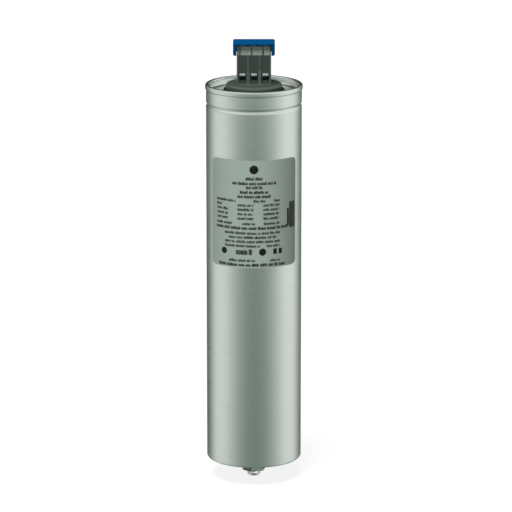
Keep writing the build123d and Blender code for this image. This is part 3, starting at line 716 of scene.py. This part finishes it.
class OBJECT_OT_capacitor_stage(bpy.types.Operator):
    """Floor, light tent, lamps, sky and camera"""
    bl_idname = "capacitor.stage"
    bl_label = "Stage"

    def execute(self, context):
        settings = context.scene.capacitor_stage
        scene = context.scene
        scene.view_settings.view_transform = "Standard"
        self.sky(scene, settings)
        self.floor()
        for name, low, high, lean, strengths in TENT_RINGS:
            self.tent_ring(name, math.radians(low), math.radians(high), lean, strengths)

        origin = Vector((0, 0, 0))
        key_place = sphere_point(-settings.key_azimuth, settings.key_elevation, SUN_DISTANCE)
        key = self.lamp("key_light", "SUN", settings.key_strength, key_place, origin)
        key.data.angle = settings.key_size
        # Weak light from low in front, which reaches into the cable openings
        fill_place = sphere_point(
            math.radians(FILL_AZIMUTH), math.radians(FILL_ELEVATION), SUN_DISTANCE
        )
        fill = self.lamp("fill_light", "SUN", settings.fill_strength, fill_place, origin)
        fill.data.angle = math.radians(FILL_SIZE)
        # Small lamp near the floor that lifts the right faces of the nut out of the shadow
        nut_middle = Vector((0, 0, (NUT_BOTTOM + NUT_TOP) / 2))
        nut_lamp_place = nut_middle + sphere_point(
            math.radians(NUT_LAMP_AZIMUTH), math.radians(NUT_LAMP_ELEVATION), NUT_LAMP_DISTANCE
        )
        kicker = self.lamp("nut_light", "SPOT", settings.nut_strength, nut_lamp_place, nut_middle)
        kicker.data.spot_size = math.radians(NUT_LAMP_CONE)
        kicker.data.shadow_soft_size = NUT_LAMP_RADIUS

        camera = bpy.data.objects.new("camera", bpy.data.cameras.new("camera"))
        scene.collection.objects.link(camera)
        camera.location = (0, -settings.camera_distance, settings.camera_height)
        camera.rotation_euler = (math.pi / 2 - settings.camera_pitch, 0, 0)
        camera.data.sensor_width = 36
        camera.data.lens = settings.focal_length
        camera.data.shift_x = (IMAGE_SIZE / 2 - AXIS_COLUMN) / IMAGE_SIZE
        scene.camera = camera
        return {"FINISHED"}

    def lamp(self, name, kind, strength, place, aim):
        """Lamp at a place, turned to its aim, that isn't seen in reflections."""
        lamp = bpy.data.objects.new(name, bpy.data.lights.new(name, kind))
        bpy.context.scene.collection.objects.link(lamp)
        lamp.location = place
        lamp.rotation_euler = (aim - place).to_track_quat("-Z", "Y").to_euler()
        lamp.data.energy = strength
        lamp.visible_glossy = False
        return lamp

    def sky(self, scene, settings):
        """Soft even light, and plain white to the eye, to reflections and through glass."""
        world = bpy.data.worlds.new("studio")
        scene.world = world
        world.use_nodes = True
        tree = world.node_tree
        tree.nodes.clear()
        rays = add_node(tree, "ShaderNodeLightPath").outputs
        seen = add_node(
            tree, "ShaderNodeMath", {0: rays["Is Camera Ray"], 1: rays["Is Glossy Ray"]}
        )
        seen = add_node(
            tree, "ShaderNodeMath",
            {0: seen.outputs["Value"], 1: rays["Is Transmission Ray"]}, use_clamp=True,
        )
        strength = add_node(
            tree, "ShaderNodeMapRange",
            {"Value": seen.outputs["Value"], "To Min": settings.sky_strength, "To Max": 1.0},
        )
        sky = add_node(
            tree, "ShaderNodeBackground",
            {"Color": (1, 1, 1, 1), "Strength": strength.outputs["Result"]},
        )
        add_node(tree, "ShaderNodeOutputWorld", {"Surface": sky.outputs["Background"]})

    def floor(self):
        """Pale floor that stays white to the eye apart from the soft shadow."""
        bm = bmesh.new()
        bmesh.ops.create_grid(bm, x_segments=1, y_segments=1, size=FLOOR_SIZE)
        material, tree = empty_material("pale_studio_floor")
        rays = add_node(tree, "ShaderNodeLightPath")
        matt = add_node(tree, "ShaderNodeBsdfDiffuse", {"Color": linear(FLOOR_SEEN)})
        glow = add_node(
            tree, "ShaderNodeEmission", {"Color": (1, 1, 1, 1), "Strength": FLOOR_GLOW}
        )
        both = add_node(tree, "ShaderNodeAddShader", {0: matt.outputs[0], 1: glow.outputs[0]})
        plain = add_node(tree, "ShaderNodeBsdfDiffuse", {"Color": linear(FLOOR_UNSEEN)})
        mix = add_node(
            tree, "ShaderNodeMixShader",
            {"Fac": rays.outputs["Is Camera Ray"], 1: plain.outputs[0], 2: both.outputs[0]},
        )
        add_node(tree, "ShaderNodeOutputMaterial", {"Surface": mix.outputs[0]})
        floor = new_piece("floor", bm, material)
        floor.location.z = FLOOR_LEVEL
        floor.visible_glossy = False

    def tent_ring(self, name, low, high, lean, strengths):
        """Ring of the light tent round the can, which only reflections see.

        strengths holds the glow from the back, over the sides, to the front. The right side is
        brighter by the share lean, and the left side weaker by it.
        """
        bm = bmesh.new()
        grid = [
            [
                bm.verts.new(sphere_point(
                    2 * math.pi * i / TENT_FACES, low + (high - low) * j / TENT_BANDS, TENT_RADIUS
                ))
                for j in range(TENT_BANDS + 1)
            ]
            for i in range(TENT_FACES)
        ]
        for i in range(TENT_FACES):
            following = grid[(i + 1) % TENT_FACES]
            for j in range(TENT_BANDS):
                bm.faces.new((grid[i][j], following[j], following[j + 1], grid[i][j + 1]))
        material, tree = empty_material(name)
        place = add_node(tree, "ShaderNodeTexCoord")
        flat = add_node(
            tree, "ShaderNodeVectorMath", {0: place.outputs["Object"], 1: (1, 1, 0)},
            operation="MULTIPLY",
        )
        level = add_node(tree, "ShaderNodeVectorMath", {0: flat.outputs[0]}, operation="NORMALIZE")
        facing = add_node(
            tree, "ShaderNodeVectorMath",
            {0: level.outputs[0], 1: sphere_point(math.radians(TENT_FRONT), 0, 1)},
            operation="DOT_PRODUCT",
        )
        share = add_node(
            tree, "ShaderNodeMapRange", {"Value": facing.outputs["Value"], "From Min": -1}
        )
        ramp = add_node(tree, "ShaderNodeValToRGB", {"Fac": share.outputs["Result"]})
        ramp.color_ramp.interpolation = "B_SPLINE"
        stops = ramp.color_ramp.elements
        while len(stops) < len(strengths):
            stops.new(0.5)
        for i, strength in enumerate(strengths):
            stops[i].position = i / (len(strengths) - 1)
            weak = max(0.0, 1 - strength)
            stops[i].color = (*[strength * (1 + weak * tint) for tint in TENT_SHADE], 1)
        sideways = add_node(tree, "ShaderNodeSeparateXYZ", {"Vector": level.outputs[0]})
        side_glow = add_node(
            tree, "ShaderNodeMapRange",
            {"Value": sideways.outputs["X"], "From Min": -1,
             "To Min": 1 - lean, "To Max": 1 + lean},
        )
        glow = add_node(
            tree, "ShaderNodeEmission",
            {"Color": ramp.outputs["Color"], "Strength": side_glow.outputs["Result"]},
        )
        add_node(tree, "ShaderNodeOutputMaterial", {"Surface": glow.outputs["Emission"]})
        ring = new_piece(name, bm, material)
        ring.location.z = TENT_LEVEL
        ring.visible_camera = False
        ring.visible_diffuse = False
        ring.visible_transmission = False
        ring.visible_shadow = False


class VIEW3D_PT_capacitor(bpy.types.Panel):
    """Sidebar panel with the capacitor's settings and steps"""
    bl_label = "Power capacitor"
    bl_idname = "VIEW3D_PT_capacitor"
    bl_space_type = "VIEW_3D"
    bl_region_type = "UI"
    bl_category = "Capacitor"

    def draw(self, context):
        layout = self.layout
        for settings in SETTINGS:
            group = getattr(context.scene, settings)
            for name in group.__annotations__:
                layout.prop(group, name)
        for operator in OPERATORS:
            layout.operator(operator.bl_idname)


SETTINGS = {
    "capacitor_finishes": CapacitorFinishes,
    "capacitor_label": CapacitorLabel,
    "capacitor_stage": CapacitorStage,
}
OPERATORS = (
    OBJECT_OT_capacitor_metal, OBJECT_OT_capacitor_plastic, OBJECT_OT_capacitor_inside,
    OBJECT_OT_capacitor_label, OBJECT_OT_capacitor_thread, OBJECT_OT_capacitor_stage,
)


def register():
    for cls in (*SETTINGS.values(), *OPERATORS, VIEW3D_PT_capacitor):
        bpy.utils.register_class(cls)
    for name, group in SETTINGS.items():
        setattr(bpy.types.Scene, name, bpy.props.PointerProperty(type=group))


def unregister():
    for name in SETTINGS:
        delattr(bpy.types.Scene, name)
    for cls in (VIEW3D_PT_capacitor, *reversed(OPERATORS), *SETTINGS.values()):
        bpy.utils.unregister_class(cls)


def main():
    register()
    bpy.ops.capacitor.metal()
    bpy.ops.capacitor.plastic()
    bpy.ops.capacitor.inside()
    bpy.ops.capacitor.label()
    bpy.ops.capacitor.thread()
    bpy.ops.capacitor.stage()


if __name__ == "__main__":
    main()
